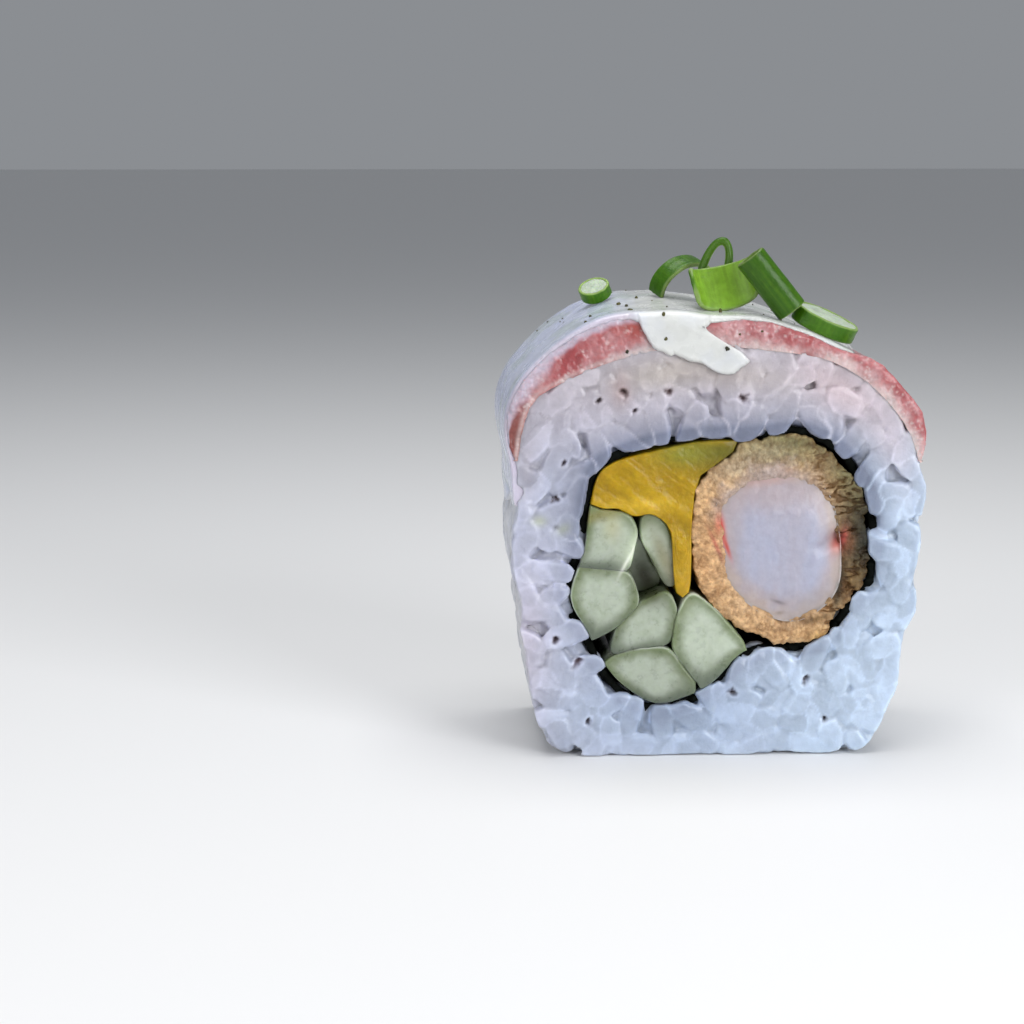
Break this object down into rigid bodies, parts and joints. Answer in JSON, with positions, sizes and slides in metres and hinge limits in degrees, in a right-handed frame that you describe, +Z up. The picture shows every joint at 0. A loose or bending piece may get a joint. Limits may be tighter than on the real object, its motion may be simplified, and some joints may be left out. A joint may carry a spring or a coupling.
{
  "type": "tiger roll",
  "caption": "Slice of inside-out sushi roll with prawn, mango and cucumber in nori and rice, under tuna, herb cream and spring onion.",
  "frame": {"origin": "middle of the flat patch of rice that the slice stands on", "axes": "+Z up, Y along the roll's axis with the front cut facing -Y, X across the roll"},
  "size_m": [0.0489, 0.0261, 0.0587],
  "materials": {
    "rice": "moist translucent white grains",
    "nori": "nearly black seaweed sheet",
    "batter": "crisp golden crumb",
    "prawn": "cooked prawn meat, lilac white with red streaks",
    "mango": "ripe golden fruit flesh",
    "cucumber": "wet pale green flesh",
    "tuna": "raw pink-red fish",
    "cream": "white sauce with herb and pepper specks",
    "onion": "fresh green leaf, pale inside"
  },
  "bodies": {
    "root": {"rice": "rice", "nori": "nori", "batter": "batter", "prawn": "prawn", "mango": "mango", "cucumber_top_left": "cucumber", "cucumber_left": "cucumber", "cucumber_thin": "cucumber", "cucumber_short": "cucumber", "cucumber_middle": "cucumber", "cucumber_right": "cucumber", "cucumber_bottom": "cucumber", "tuna": "tuna", "cream": "cream", "onion_arch": "onion", "onion_loop": "onion", "onion_scoop": "onion", "onion_tube": "onion", "onion_ring_right": "onion", "onion_ring_left": "onion"}
  },
  "joints": []
}
